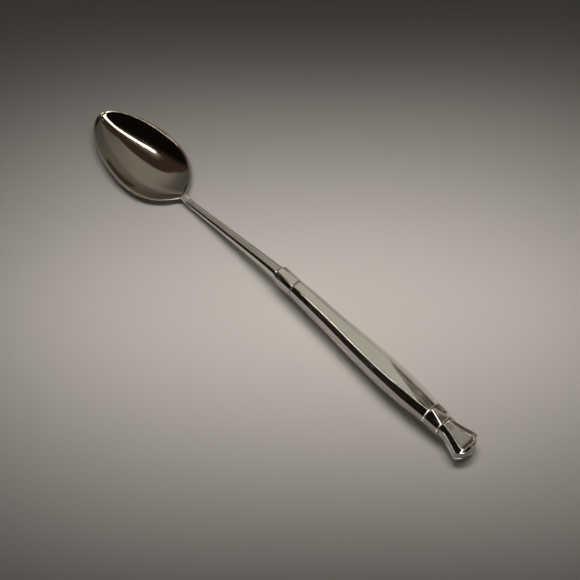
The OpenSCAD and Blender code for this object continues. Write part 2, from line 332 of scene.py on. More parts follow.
class HandleSizes(bpy.types.PropertyGroup):
    """Sizes of the ferrule, the handle, its knot and its fan."""

    handle_length: length_of("Handle length", "From the front of the ferrule to the end", 97.2)
    ferrule_length: length_of("Ferrule length", "Along the spoon", 8.3)
    ferrule_width: length_of("Ferrule width", "Over its sides", 6.4)
    ferrule_height: length_of("Ferrule height", "Over its flat faces", 6.9)
    solder_width: length_of("Solder width", "Between the ferrule and the handle", 0.35)
    facet_width: length_of("Facet width", "Widest place of the top facet", 5.5)
    facet_dish: length_of("Facet dish", "Hollow in the top facet", 0.1)
    panel_dish: length_of("Panel dish", "How deep the panel is sunk", 0.36)
    bevel_width: length_of("Bevel width", "Sideways, at the broadest bevel", 2.4)
    bevel_drop: length_of("Bevel drop", "Height of the broadest bevel", 2)
    side_height: length_of("Side height", "Tallest side of one half shell", 2.8)
    side_draft: length_of("Side draft", "How much wider it is at the seam", 0.35)
    shell_wall: length_of("Shell wall", "Thickness of the half shells", 0.7)
    seam_width: length_of("Seam width", "Solder line along each seam", 0.2)
    belly_lift: length_of("Belly lift", "Middle above the table at the belly", 8.5)
    knot_lift: length_of("Knot lift", "Middle above the table at the knot", 7.9)
    knot_length: length_of("Knot length", "Between handle and fan", 6.9)
    knot_facet: length_of("Knot facet", "Width of the flat facet at its rear", 3.8)
    groove_width: length_of("Groove width", "At each end of the knot", 0.5)
    groove_depth: length_of("Groove depth", "At each end of the knot", 0.4)
    fan_length: length_of("Fan length", "Behind the knot", 12.7)
    fan_width: length_of("Fan width", "Over its corners", 11.2)
    panel_width: length_of("Panel width", "Panel on the fan", 6.1)
    fan_side: length_of("Fan side", "Tallest sides above the seam", 3.4)
    fan_bevel: length_of("Fan bevel", "Drop of the bevel round the panel", 1.3)
    edge_rounding: length_of("Edge rounding", "Setback of the polished edges", 0.24)


class Finish(bpy.types.PropertyGroup):
    """Colours of the metals and the floor."""

    # The bowl's darker steel is partly painted shade
    steel: colour_of("Steel", "Bowl and shank", (0.335, 0.303, 0.256))
    silver: colour_of("Silver", "Ferrule and handle", (0.8, 0.775, 0.715))
    # Also the colour towards which the handle's painted shade, shadow line and brown reflection are
    # mixed
    tarnish: colour_of("Tarnish", "Darkened metal in grooves and seams", (0.13, 0.1, 0.075))
    solder: colour_of("Solder", "Solder in the joints", (0.3, 0.28, 0.24))
    cement: colour_of("Cement", "Filling of the handle", (0.3, 0.24, 0.17))
    floor: colour_of("Floor", "Table top", (0.5, 0.475, 0.445))


GROUPS = {"spoon_bowl": BowlSizes, "spoon_handle": HandleSizes, "spoon_finish": Finish}


# ---- meshes


def mesh_object(name, points, faces, material=None, edges=()):
    """New object at the origin, with its place in its mesh."""
    mesh = bpy.data.meshes.new(name)
    mesh.from_pydata(points, edges, faces)
    mesh.polygons.foreach_set("use_smooth", [True] * len(mesh.polygons))
    mesh.update()
    made = bpy.data.objects.new(name, mesh)
    bpy.context.scene.collection.objects.link(made)
    if material:
        mesh.materials.append(material)
    return made


def ring_faces(rows, count):
    """Quads between rows of points that each close on themselves."""
    faces = []
    for i in range(rows - 1):
        for j in range(count):
            a, b = i * count + j, i * count + (j + 1) % count
            faces.append((a, b, b + count, a + count))
    return faces


def lofted(name, sections, material):
    """Closed solid through sections, each with its place along the spoon."""
    rows, count = len(sections), len(sections[0][1])
    points = [(x, y, z) for x, section in sections for y, z in section]
    faces = ring_faces(rows, count)
    faces += [tuple(reversed(range(count))), tuple(range((rows - 1) * count, rows * count))]
    return mesh_object(name, points, faces, material)


def grown(made, tree, values):
    """Runs a geometry tree on an object and keeps the result as its plain mesh."""
    modifier = made.modifiers.new("Form", "NODES")
    modifier.node_group = tree
    for item in tree.interface.items_tree:
        if item.in_out == "INPUT" and item.name in values:
            modifier[item.identifier] = values[item.name]
    evaluated = made.evaluated_get(bpy.context.evaluated_depsgraph_get())
    mesh = bpy.data.meshes.new_from_object(evaluated)
    made.modifiers.clear()
    made.data = mesh
    mesh.name = made.name


def geometry_tree(name, inputs):
    """Empty geometry tree with its mesh and its named sizes."""
    tree = bpy.data.node_groups.new(name, "GeometryNodeTree")
    made = Tree(tree)
    tree.interface.new_socket("Geometry", in_out="INPUT", socket_type="NodeSocketGeometry")
    tree.interface.new_socket("Geometry", in_out="OUTPUT", socket_type="NodeSocketGeometry")
    for item in inputs:
        tree.interface.new_socket(item, in_out="INPUT", socket_type="NodeSocketFloat")
    start = tree.nodes.new("NodeGroupInput")
    return made, {item.name: Wire(made, item) for item in start.outputs if item.name}


def close_tree(made, geometry, material):
    """Ends a geometry tree: real geometry, smooth, with its material."""
    geometry = made.add("GeometryNodeSetShadeSmooth", None, {"Geometry": geometry})
    geometry = made.add("GeometryNodeRealizeInstances", None, {"Geometry": geometry})
    values = {"Geometry": geometry, "Material": material}
    geometry = made.add("GeometryNodeSetMaterial", None, values)
    end = made.tree.nodes.new("NodeGroupOutput")
    made.tree.links.new(geometry.socket, end.inputs[0])
    return made.tree


def on_spoon(made, slot_name, *nodes):
    """Puts a finished piece on the spoon's one body, in place of its CAD nodes."""
    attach(made, BODY)
    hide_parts(*nodes)


def rounded(points, setbacks, steps=4):
    """Polygon with rounded corners: an arc each, and a point on the flats beside it."""
    made, count = [], len(points)
    for i, (corner, setback) in enumerate(zip(points, setbacks)):
        if not setback:
            made.append(list(corner))
            continue
        ends = []
        for other in (points[i - 1], points[(i + 1) % count]):
            reach = math.dist(corner, other)
            share = min(setback, reach * MOST_ROUNDED) / max(reach, 1e-9)
            ends.append([blend(c, o, share) for c, o in zip(corner, other)])
            ends.append([blend(c, o, share * BESIDE) for c, o in zip(corner, other)])
        made.append(ends[1])
        for k in range(steps + 1):
            t = k / steps
            arc = zip(ends[0], corner, ends[2])
            made.append([blend(blend(a, c, t), blend(c, b, t), t) for a, c, b in arc])
        made.append(ends[3])
    return made


# ---- the handle's sections


class Handle:
    """Places and sections of the ferrule, the handle, its knot and its fan."""

    def __init__(self, bowl, sizes):
        self.s = s = sizes
        self.end = bowl.spoon_length / 2
        self.heel = -bowl.spoon_length / 2 + bowl.bowl_length
        self.ferrule = self.end - s.handle_length
        self.shell = self.ferrule + s.ferrule_length + s.solder_width
        self.fan = self.end - s.fan_length
        self.knot = self.fan - s.knot_length
        self.belly = (self.shell + self.knot) / 2
        form = Bowl(bowl_values(bowl))
        shares = [k / 500 for k in range(501)]
        self.rim_lift = -min(form.rim_line(t) - form.outer_depth(t) for t in shares)
        neck = self.rim_lift + form.rim_line(1) - bowl.neck_height / 2
        shank = (self.heel + self.ferrule) / 2
        self.line_places = [self.heel, shank, self.ferrule, self.belly, self.knot, self.end]
        rise, end = blend(neck, bowl.shank_lift, SHANK_RISE), s.fan_side + s.fan_bevel
        self.line_heights = [neck, rise, bowl.shank_lift, s.belly_lift, s.knot_lift, end]
        # The end is lowered so that the fan touches the table
        fan = [blend(self.fan, self.end, k / 20) for k in range(21)]
        self.line_heights[-1] -= min(self.line(x) - self.fan_at(x)[4] for x in fan)

    def line(self, x):
        """Height of the spoon's middle line, where the seam lies."""
        return curve(self.line_places, self.line_heights, x)

    def body(self, x):
        """Half widths at seam, bevel and facet, and heights of bevel and facet, of the handle."""
        s = self.s
        t = clamp((x - self.shell) / (self.knot - self.shell))
        facet = s.facet_width / 2 * curve(HANDLE_PLACES, HANDLE_FACET, t)
        bevel = s.bevel_width * curve(HANDLE_PLACES, HANDLE_BEVEL, t)
        drop = s.bevel_drop * curve(HANDLE_PLACES, HANDLE_BEVEL, t)
        side = s.side_height * curve(HANDLE_PLACES, HANDLE_SIDE, t)
        return [facet + bevel + s.side_draft, facet + bevel, facet, side, side + drop]

    def fan_at(self, x):
        """The same five sizes of the fan."""
        s = self.s
        t = clamp((x - self.fan) / s.fan_length)
        half = s.fan_width / 2 * curve(FAN_PLACES, FAN_WIDTH, t)
        facet = min(s.panel_width / 2 * curve(FAN_PLACES, FAN_PANEL, t), half * PANEL_LIMIT)
        side = s.fan_side * curve(FAN_PLACES, FAN_SIDE, t)
        top = side + s.fan_bevel * curve(FAN_PLACES, FAN_RISE, t)
        return [half, half - s.side_draft / 3, facet, side, top]

    def knot_at(self, x):
        """The same five sizes of the knot, whose top facet grows from a point."""
        s = self.s
        t = clamp((x - self.knot - s.groove_width) / (s.knot_length - 2 * s.groove_width))
        ends = zip(self.body(self.knot), self.fan_at(self.fan))
        mid = [blend(a, b, t * KNOT_TAPER) for a, b in ends]
        return [mid[0], mid[1], blend(s.groove_depth, s.knot_facet / 2, t), mid[3], mid[4]]

    def outside(self, x):
        """The five sizes anywhere on the handle, with its two grooves cut in."""
        s = self.s
        first, second = self.knot + s.groove_width / 2, self.fan - s.groove_width / 2
        sizes = self.body(x) if x < first else self.knot_at(x) if x < second else self.fan_at(x)
        away = min(abs(x - first), abs(x - second)) / s.groove_width
        cut = s.groove_depth * (1 - ease((away - GROOVE_BOTTOM) / GROOVE_SLOPE))
        front = clamp(1 - (x - self.shell) / s.edge_rounding)
        cut += s.edge_rounding * END_CUT * (1 - math.sqrt(1 - front * front))
        return [max(size - cut, TINY) for size in sizes]

    def dish(self, x, facet):
        """Depth of the hollow in the top facet, how far its bottom reaches, and how round it is."""
        s = self.s
        on_fan = ease((x - self.fan) / s.groove_width)
        on_knot = ease((x - self.knot) / s.groove_width) * (1 - on_fan)
        panel = min(s.panel_dish, facet * PANEL_DEPTH)
        depth = blend(s.facet_dish * facet / (s.facet_width / 2), panel, on_fan) * (1 - on_knot)
        reach = blend(HANDLE_REACH, 1 - PANEL_WALL * panel / facet, on_fan)
        return depth, blend(reach, KNOT_REACH, on_knot), 1 - on_fan

    def softness(self, x):
        """How much more the edges are rounded on the knot than elsewhere."""
        away = abs(x - (self.knot + self.fan) / 2) / self.s.knot_length
        return blend(1, KNOT_SOFTNESS, 1 - ease((away - SOFT_FROM) / SOFT_FADE))

    def places(self):
        """Places along the handle, close together at its start, the grooves and the fan."""
        s, span = self.s, range(-GROOVE_STEPS, GROOVE_STEPS + 1)
        groove = s.groove_width
        made = [blend(self.shell, self.knot, k / HANDLE_STEPS) for k in range(HANDLE_STEPS + 1)]
        made += [self.shell + s.edge_rounding * k / 5 for k in range(1, 5)]
        for middle in (self.knot + groove / 2, self.fan - groove / 2):
            made += [middle + groove * k / GROOVE_STEPS for k in span]
        knot = self.knot + groove, self.fan - groove
        made += [blend(*knot, k / KNOT_STEPS) for k in range(KNOT_STEPS + 1)]
        made += [blend(self.fan, self.end, k / FAN_STEPS) for k in range(FAN_STEPS + 1)]
        return sorted(made)


def handle_of(context):
    """The handle with the sizes that the scene holds."""
    return Handle(context.scene.spoon_bowl, context.scene.spoon_handle)


def bowl_values(bowl):
    """The bowl's sizes under the names that the formulas and the geometry tree use."""
    others = ("spoon_length", "rings", "points_across")
    names = [name for name in BowlSizes.__annotations__ if name not in others]
    return {name.replace("_", " ").title(): getattr(bowl, name) for name in names}


# ---- finishes


# Tarnish in clouds and specks, and what roughens the metal
CLOUD_STAIN, SPECK_STAIN = 0.18, 0.12
SMEAR_ROUGHNESS, STAIN_ROUGHNESS, SMEAR_HEIGHT = 0.03, 0.15, 0.3
# Tarnish in the handle's grooves; painted shade on its sides, more at its end, and on the fan's
# top; a painted shadow line on the seam
GROOVE_TARNISH, SEAM_SHADOW_LINE, SIDE_SHADE, END_SHADE, FAN_TOP_SHADE = 0.9, 0.95, 0.46, 0.3, 0.12
# Where the painted shadow line on the seam fades
SEAM_FADE = 22 * MM, 34 * MM
# The painted brown reflection on the top: its start, its near edge there and behind, its far edge,
# and its streaks
BROWN_REFLECTION_START, BROWN_REFLECTION_LENGTH = 54 * MM, 24 * MM
BROWN_REFLECTION_NEAR = 2.6 * MM, -2.4 * MM
BROWN_REFLECTION_FAR, BROWN_REFLECTION_FAR_PLACE, BROWN_REFLECTION_FAR_SLOPE = 2.55 * MM, 60 * MM, 0.042
BROWN_REFLECTION_LEAST, BROWN_REFLECTION_STREAKS = 0.5, 0.4
# The shank's share of silver, and where it begins, from the heel of the bowl
SHANK_BRIGHTNESS, BRIGHT_FROM, BRIGHT_TO = 0.7, -1.5 * MM, 3 * MM


def new_material(name):
    """Empty material, its tree and its Object coordinates."""
    material = bpy.data.materials.new(name)
    material.use_nodes = True
    made = Tree(material.node_tree)
    place = made.add("ShaderNodeTexCoord", out="Object")
    return material, made, place


def end_material(made, values, **bump):
    """Ends a material in one shader, with a bump where one is given."""
    if bump:
        values = {**values, "Normal": made.add("ShaderNodeBump", None, bump)}
    shader = made.add("ShaderNodeBsdfPrincipled", None, values)
    end = made.tree.nodes.new("ShaderNodeOutputMaterial")
    made.tree.links.new(shader.socket, end.inputs["Surface"])


def polished_metal(name, colour, tarnish, rough, marks, dark=None, tone=None):
    """Polished metal with hairlines from use, faint smears and cloudy tarnish, and any darkening
    that dark gives, which on the handle is partly painted shade.
    """
    material, made, place = new_material(name)
    if tone is not None:
        colour = tone(made, place, colour)
    cloud = made.noise(place, scale=90.0, detail=4.0, roughness=0.6)
    smear = made.streaks(place, (1.0, 2.2, 2.2), 0.4, scale=160.0)
    lines = made.streaks(place, (35.0, 900.0, 900.0), 0.12, scale=4.0, roughness=0.7)
    crossed = made.streaks(place, (900.0, 45.0, 900.0), 0.5, scale=4.0, roughness=0.7)
    specks = made.step(made.noise(place, scale=1500.0), 0.7, 0.8)
    stain_and_shade = made.step(cloud, 0.5, 0.85) * CLOUD_STAIN + specks * SPECK_STAIN
    # dark adds the handle's tarnish and its painted shade
    if dark is not None:
        stain_and_shade = high(stain_and_shade, dark(made, place))
    smear_roughness = made.step(smear, 0.35, 0.75) * SMEAR_ROUGHNESS
    values = {
        "Base Color": made.mix(colour, tarnish, stain_and_shade),
        "Metallic": 1.0,
        "Roughness": rough + smear_roughness + stain_and_shade * STAIN_ROUGHNESS,
    }
    height = (lines + crossed) * marks + smear * SMEAR_HEIGHT
    end_material(made, values, Height=height, Distance=0.01 * MM, Strength=0.12)
    return material


def near_any(made, x, places, reach):
    """1 at any of some places along the spoon, falling to 0 within a reach."""
    total = 0.0
    for place in places:
        away = norm(x - place, 0.0)
        total = high(1 - made.step(away, reach * 0.4, reach), total)
    return total


def dull_material(name, colour, rough, grain):
    """Matt material with a fine grain."""
    material, made, place = new_material(name)
    grains = made.noise(place, scale=grain, detail=3.0)
    darker = tuple(part * 0.7 for part in colour)
    values = {"Base Color": made.mix(darker, colour, grains), "Roughness": rough + grains * 0.1}
    end_material(made, values, Height=grains, Distance=0.05 * MM, Strength=0.3)
    return material


def shank_tone(made, place, colour):
    """The bowl's steel is darker, partly its own tone and partly painted shade, and the shank is
    bright like the handle.
    """
    x, heel = made.split(place)[0], handle_of(bpy.context).heel
    behind = made.step(x, heel + BRIGHT_FROM, heel + BRIGHT_TO)
    return made.mix(colour, tuple(bpy.context.scene.spoon_finish.silver), behind * SHANK_BRIGHTNESS)


def handle_tarnish_and_shade(made, place):
    """How dark the handle is at each place: tarnish in its grooves, painted shade on sides, end and
    fan top, a painted shadow line on the seam and a painted brown reflection on the top.
    """
    handle = handle_of(bpy.context)
    x, y, z = made.split(place)
    normal = made.split(made.add("ShaderNodeNewGeometry", out="Normal"))[2]
    on_top = made.step(normal, 0.9, 0.96)
    groove = handle.s.groove_width / 2
    grooves = [handle.knot + groove, handle.fan - groove, handle.shell]
    total = near_any(made, x, grooves, 0.2 * MM) * GROOVE_TARNISH
    # Painted shade: the sides are darker, more so at the end, and a dark line on the seam towards
    # the ferrule stands in for the shadow's reflection
    side_shade = SIDE_SHADE + made.step(x, handle.end - 3 * MM, handle.end) * END_SHADE
    total = high(total, (1 - made.step(norm(normal, 0.0), 0.15, 0.4)) * side_shade)
    seam = near_any(made, z - handle.line(x), [-0.15 * MM], 0.6 * MM)
    total = high(total, seam * (1 - made.step(x, *SEAM_FADE)) * SEAM_SHADOW_LINE)
    # Painted shade on the fan's top facets
    total = high(total, made.step(x, handle.fan, handle.fan + 0.5 * MM) * on_top * FAN_TOP_SHADE)
    # A painted brown reflection spreads over the top from the knot, along the far crease
    near_limit = blend(*BROWN_REFLECTION_NEAR, clamp((x - BROWN_REFLECTION_START) / BROWN_REFLECTION_LENGTH))
    far_limit = BROWN_REFLECTION_FAR - BROWN_REFLECTION_FAR_SLOPE * (x - BROWN_REFLECTION_FAR_PLACE)
    brown_reflection = made.step(y - near_limit, -0.3 * MM, 0.5 * MM)
    brown_reflection = brown_reflection * (1 - made.step(y - far_limit, -0.15 * MM, 0.0))
    brown_reflection = brown_reflection * made.step(x, BROWN_REFLECTION_START + 2 * MM, BROWN_REFLECTION_START + 6 * MM)
    brown_reflection = brown_reflection * (1 - made.step(x, handle.knot - 0.2 * MM, handle.knot)) * on_top
    streaks = made.streaks(place, (120.0, 600.0, 200.0), -0.15, scale=2.0, roughness=0.6)
    brown_reflection = brown_reflection * (BROWN_REFLECTION_LEAST + made.step(streaks, 0.3, 0.7) * BROWN_REFLECTION_STREAKS)
    return high(total, brown_reflection)


def metal_of(context, name):
    """One of the spoon's finishes, made the first time it is asked for."""
    if name in bpy.data.materials:
        return bpy.data.materials[name]
    finish = context.scene.spoon_finish
    steel, silver, tarnish = tuple(finish.steel), tuple(finish.silver), tuple(finish.tarnish)
    if name == "Bowl steel":
        return polished_metal(name, steel, tarnish, rough=0.06, marks=0.5, tone=shank_tone)
    if name == "Handle silver":
        return polished_metal(name, silver, tarnish, rough=0.055, marks=0.8, dark=handle_tarnish_and_shade)
    if name == "Solder":
        return dull_material(name, tuple(finish.solder), rough=0.4, grain=2500.0)
    return dull_material(name, tuple(finish.cement), rough=0.85, grain=900.0)


# ---- pieces


# Step for the outline's slope, most of the half width that the rounded rim takes, merging distance
SLOPE_REACH, RIM_SHARE, MERGED = 0.0005, 0.3, 2e-7
# What each point of the net carries
NET = ("along", "across", "layer", "under", "tang", "full")
# Fineness of shank and tang, how the points crowd at the neck and the rim, and those across the rim
SHANK_STEPS, TANG_STEPS, NECK_CROWDING, RIM_CROWDING = 60, 8, 1.4, 0.85
RIM_POINTS = [0.08, 0.17, 0.27, 0.37, 0.5, 0.62, 0.72, 0.81, 0.89, 0.95, 0.985]
# The solder's inset and radius, along the seam and round the ferrule
SEAM_INSET, SEAM_RADIUS, RING_INSET, RING_RADIUS = 0.9, 0.62, 1.3, 0.5


def bowl_tree(material, handle):
    """Geometry tree that puts each point of a plain net on the bowl, the shank or the tang."""
    names = list(bowl_values(bpy.context.scene.spoon_bowl))
    made, size = geometry_tree("Bowl and shank form", names)

    def attribute(name):
        return made.add("GeometryNodeInputNamedAttribute", {"data_type": "FLOAT"}, {"Name": name})

    along, across, layer, under, tang, full = (attribute(name) for name in NET)
    form = Bowl(size)
    t = clamp(along)
    # The bowl: its inside and outside share one formula, and the rim lies between them
    half = form.half(t)
    spread = blend(form.inner_half(t), half, layer)
    y = across * spread
    rise = form.half(clamp(t + SLOPE_REACH)) - form.half(clamp(t - SLOPE_REACH))
    slope = rise / (2 * SLOPE_REACH * size["Bowl Length"])
    away = (half - norm(y, 0.0)) / norm(slope, 1.0)
    rounding = low(size["Rim Rounding"], half * RIM_SHARE)
    short = 1 - clamp(away / rounding)
    drop = rounding * (1 - root(1 - short * short))
    inward = clamp(1 - layer * (half - form.inner_half(t)) / norm(slope, 1.0) / rounding)
    dish = norm(form.inner_depth(t) * trough(across), 0.0)
    above = drop + high(dish, rounding * (1 - root(1 - inward * inward)))
    below = norm(form.outer_depth(t) * trough(across), rounding)
    z = handle.rim_lift + form.rim_line(t) - blend(above, below, under)
    # The shank and the tang behind it
    heel = TIP + size["Bowl Length"]
    q, r = clamp(along - 1), clamp(along - 2)
    x = TIP + size["Bowl Length"] * t + (handle.ferrule - heel) * q + size["Tang Length"] * r
    growth = curve(SHANK_PLACES, SHANK_GROWTH, q)
    taper = 1 - TANG_TAPER * r

    def half_size(way):
        shank = blend(size["Neck " + way], size["Shank " + way], growth)
        return blend(shank, size["Tang " + way] * taper, tang) / 2

    wide, tall = half_size("Width"), half_size("Height")
    w = across * blend(EDGE, 1.0, high(layer, under)) * full
    middle = handle.line(x)
    shank_y = wide * w
    shank_z = middle + tall * barrel(w) * (1 - 2 * under) * full
    turn = ease((x - heel) / size["Neck Blend"])
    y, z = blend(y, shank_y, turn), blend(z, shank_z, turn)
    point = made.add("ShaderNodeCombineXYZ", None, {0: x, 1: y, 2: z})
    values = {"Geometry": size["Geometry"], "Position": point}
    geometry = made.add("GeometryNodeSetPosition", None, values)
    values = {"Geometry": geometry, "Distance": MERGED}
    geometry = made.add("GeometryNodeMergeByDistance", None, values)
    return close_tree(made, geometry, material)


class SPOON_OT_bowl(bpy.types.Operator):
    """Bowl, neck, shank and tang, in one piece"""

    bl_idname = "spoon.bowl"
    bl_label = "Bowl and shank"

    def execute(self, context):
        bowl, handle = context.scene.spoon_bowl, handle_of(context)
        material = metal_of(context, "Bowl steel")
        # Each point's place across, between inside and rim, and below
        n = bowl.points_across
        sweep = [
            blend(1 - 2 * k / n, math.cos(math.pi * k / n), RIM_CROWDING) for k in range(n + 1)
        ]
        ring = [(1, share, 0) for share in reversed(RIM_POINTS)] + [(v, 0, 0) for v in sweep]
        ring += [(-1, share, 0) for share in RIM_POINTS] + [(-1, 1, 0.5)]
        ring += [(v, 1, 1) for v in reversed(sweep[1:-1])] + [(1, 1, 0.5)]
        # Each section's place along, whether it is on the tang, and its fullness
        edge, steps = bowl.rim_width / bowl.bowl_length, bowl.rings
        shares = [(1 - math.cos(math.pi * k / steps)) / 2 for k in range(steps + 1)]
        stations = [(t, 0, 1) for t in sorted([*shares, edge, 1 - edge])]
        shank = [(k / SHANK_STEPS) ** NECK_CROWDING for k in range(1, SHANK_STEPS + 1)]
        stations += [(1 + share, 0, 1) for share in shank]
        stations += [(2 + k / TANG_STEPS, 1, 1) for k in range(TANG_STEPS + 1)] + [(3, 1, 0)]
        faces = ring_faces(len(stations), len(ring))
        made = mesh_object("Bowl_and_shank", [(0, 0, 0)] * (len(stations) * len(ring)), faces)
        rows = {name: [] for name in NET}
        for along, tang, full in stations:
            for across, layer, under in ring:
                for name, value in zip(rows, (along, across, layer, under, tang, full)):
                    rows[name].append(value)
        for name, values in rows.items():
            made.data.attributes.new(name, "FLOAT", "POINT").data.foreach_set("value", values)
        grown(made, bowl_tree(material, handle), bowl_values(bowl))
        for name in rows:
            made.data.attributes.remove(made.data.attributes[name])
        on_spoon(made, "bowl_steel", "bowl_and_shank")
        return {"FINISHED"}


def half_section(size, sign, gap, z, cavity, rounding, hollow_form):
    """Half of the handle's section, outside and then back along its inside."""
    seam, side, facet, rise, top = size
    dish, reach, bend = hollow_form
    gap = min(gap, rise / 2)
    shares = [reach * math.sin(k * math.pi / 12) for k in range(6, -7, -1)]
    # A point close on each side of the crease round the hollow keeps it crisp
    crease = TINY / facet
    first, last = shares[0], shares[-1]
    shares = [first + crease, first - crease, *shares[1:-1], last + crease, last - crease]
    hollow_points = [(facet * share, top - dish * (1 - bend * share * share)) for share in shares]
    for end in (0, -1):
        share = shares[end]
        slope = 1 - (1 - abs(share)) / (1 - reach)
        hollow_points[end] = (facet * share, top - dish * (1 - blend(slope, 1.0, bend) * share**2))
    flank = [(seam, gap), (side, rise), (facet, top)]
    outer = flank + hollow_points + [(-y, h) for y, h in reversed(flank)]
    if cavity:
        seam_in, side_in, facet_in, rise_in, top_in = cavity
        flank = [(seam_in, gap), (side_in, rise_in), (facet_in, top_in)]
        inner = [(-y, h) for y, h in flank] + list(reversed(flank))
    else:
        inner = [(seam * share, gap) for share in (-0.75, -0.5, -0.2, 0.2, 0.5, 0.75)]
    edge = min(rounding, seam * EDGE_LIMIT, rise * EDGE_LIMIT)
    cuts = [edge * SEAM_EDGE, edge, edge]
    setbacks = cuts + [0] * len(shares) + cuts[::-1] + [0] * len(inner)
    section = rounded(outer + inner, setbacks)
    if sign < 0:
        section = list(reversed(section))
    return [(y, z + sign * h) for y, h in section]


class SPOON_OT_handle(bpy.types.Operator):
    """Two half shells of the handle, with knot and fan"""

    bl_idname = "spoon.handle"
    bl_label = "Handle shells"

    def execute(self, context):
        handle = handle_of(context)
        s, material = handle.s, metal_of(context, "Handle silver")
        # The cavity ends in the middle of the fan
        stop = handle.fan + s.fan_length / 2
        gap = s.seam_width / 2 + PLAY
        stations = [(x, x < stop) for x in handle.places()]
        stations += [(stop - TINY, True), (stop + TINY, False)]
        stations.sort(key=lambda item: (item[0], not item[1]))
        for name, node, sign in (
            ("Handle_front", "handle_front_shell", 1),
            ("Handle_back", "handle_back_shell", -1),
        ):
            sections = []
            for x, is_open in stations:
                size = handle.outside(x)
                cavity = None
                if is_open:
                    plain = handle.fan_at(x) if x > handle.fan else handle.body(x)
                    deep = s.shell_wall + (s.groove_depth if x > handle.fan else 0)
                    cavity = [max(value - deep, PLAY) for value in plain]
                rounding = s.edge_rounding * handle.softness(x)
                z, hollow_form = handle.line(x), handle.dish(x, size[2])
                section = half_section(size, sign, gap, z, cavity, rounding, hollow_form)
                sections.append((x, section))
            made = lofted(name, sections, material)
            on_spoon(made, "handle_silver", node)
        return {"FINISHED"}


def whole_section(size):
    """Corners of a section that is the same to all four sides."""
    seam, side, facet, rise, top = size
    corners = [(seam, 0), (side, rise), (facet, top)]
    corners += [(-y, z) for y, z in reversed(corners)]
    return corners + [(y, -z) for y, z in reversed(corners[1:5])]


class SPOON_OT_ferrule(bpy.types.Operator):
    """Ferrule between shank and handle"""

    bl_idname = "spoon.ferrule"
    bl_label = "Ferrule"

    def execute(self, context):
        handle = handle_of(context)
        s = handle.s
        half, top = s.ferrule_width / 2, s.ferrule_height / 2
        rise, edge = top * FERRULE_SIDE, s.edge_rounding
        start, stop = handle.ferrule, handle.ferrule + s.ferrule_length
        # Each end closes in a ring of half its size, and has a rounded edge
        turns = [k * math.pi / 12 for k in range(1, 7)]
        steps = [(0, None), (0, 1)]
        steps += [(edge * (1 - math.cos(turn)), 1 - math.sin(turn)) for turn in turns]
        stations = [(start + x, cut) for x, cut in steps]
        stations += [(blend(start + edge, stop - edge, k / 16), 0) for k in range(1, 16)]
        stations += [(stop - x, cut) for x, cut in reversed(steps)]
        sections = []
        for x, cut in stations:
            facet = half * blend(*FERRULE_FACET, (x - start) / s.ferrule_length)
            size = [half, half - s.side_draft / 2, facet, rise, top]
            if cut is None:
                size = [value * 0.5 for value in size]
            else:
                size = [max(value - edge * cut * END_CUT, 0) for value in size]
            section = rounded(whole_section(size), [edge * 0.5, edge, edge, edge, edge] * 2)
            sections.append((x, [(y, handle.line(x) + z) for y, z in section]))
        made = lofted("Ferrule", sections, metal_of(context, "Handle silver"))
        on_spoon(made, "handle_silver", "ferrule")
        return {"FINISHED"}


def bead_tree(name, material):
    """Geometry tree that runs a round bead of solder along the edges of a net."""
    made, size = geometry_tree(name, ["Bead Radius"])
    path = made.add("GeometryNodeMeshToCurve", None, {"Mesh": size["Geometry"]})
    values = {"Resolution": 10, "Radius": size["Bead Radius"]}
    bead = made.add("GeometryNodeCurvePrimitiveCircle", None, values)
    values = {"Curve": path, "Profile Curve": bead, "Fill Caps": True}
    return close_tree(made, made.add("GeometryNodeCurveToMesh", None, values), material)


class SPOON_OT_solder(bpy.types.Operator):
    """Solder along the seams and round the joint of ferrule and handle"""

    bl_idname = "spoon.solder"
    bl_label = "Solder"

    def execute(self, context):
        handle = handle_of(context)
        s = handle.s
        tree = bead_tree("Solder bead", metal_of(context, "Solder"))
        inset = s.seam_width * SEAM_INSET
        places = [x for x in handle.places() if x < handle.end - inset]
        side = [(x, max(handle.outside(x)[0] - inset, 0), handle.line(x)) for x in places]
        path = side + [(x, -y, z) for x, y, z in reversed(side)]
        made = self.net("Seam_solder", path, False)
        grown(made, tree, {"Bead Radius": s.seam_width * SEAM_RADIUS})
        on_spoon(made, "solder", "seam_solder")
        x, inset = handle.shell - s.solder_width / 2, s.groove_depth * RING_INSET
        corners = whole_section([size - inset for size in handle.body(handle.shell)])
        corners = rounded(corners, [s.edge_rounding] * len(corners))
        ring = [(x, y, handle.line(x) + z) for y, z in corners]
        made = self.net("Ferrule_solder", ring, True)
        grown(made, tree, {"Bead Radius": s.solder_width * RING_RADIUS})
        on_spoon(made, "solder", "ferrule_solder")
        return {"FINISHED"}

    @staticmethod
    def net(name, path, closed):
        """Object with one line of edges."""
        edges = [(i, i + 1) for i in range(len(path) - 1)]
        if closed:
            edges.append((len(path) - 1, 0))
        return mesh_object(name, path, [], edges=edges)


class SPOON_OT_filler(bpy.types.Operator):
    """Finish of the cement inside the handle"""

    bl_idname = "spoon.filler"
    bl_label = "Cement"

    def execute(self, context):
        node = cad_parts["handle_filler"]
        node.data.materials.clear()
        node.data.materials.append(metal_of(context, "Cement"))
        return {"FINISHED"}


# ---- stage


# Colours of the room that shows in the metal, and its lights
WALL, CEILING, FRONT = (0.44, 0.42, 0.37), (0.084, 0.055, 0.04), (0.008, 0.0065, 0.005)
LAMP, GLOW, SOFT = (1.0, 0.97, 0.9), (0.46, 0.38, 0.3), (1.0, 0.98, 0.95, 1.0)
LAMP_STRENGTH, SOFT_STRENGTH, HORIZON = 9, 0.052, 0.03
# The photo's camera, fitted with the spoon's sizes, in mm and degrees
CAMERA_PLACE, AZIMUTH, ELEVATION, LENS = (243.85, -223.69, 529.10), 46.483, 58.173, 103.39
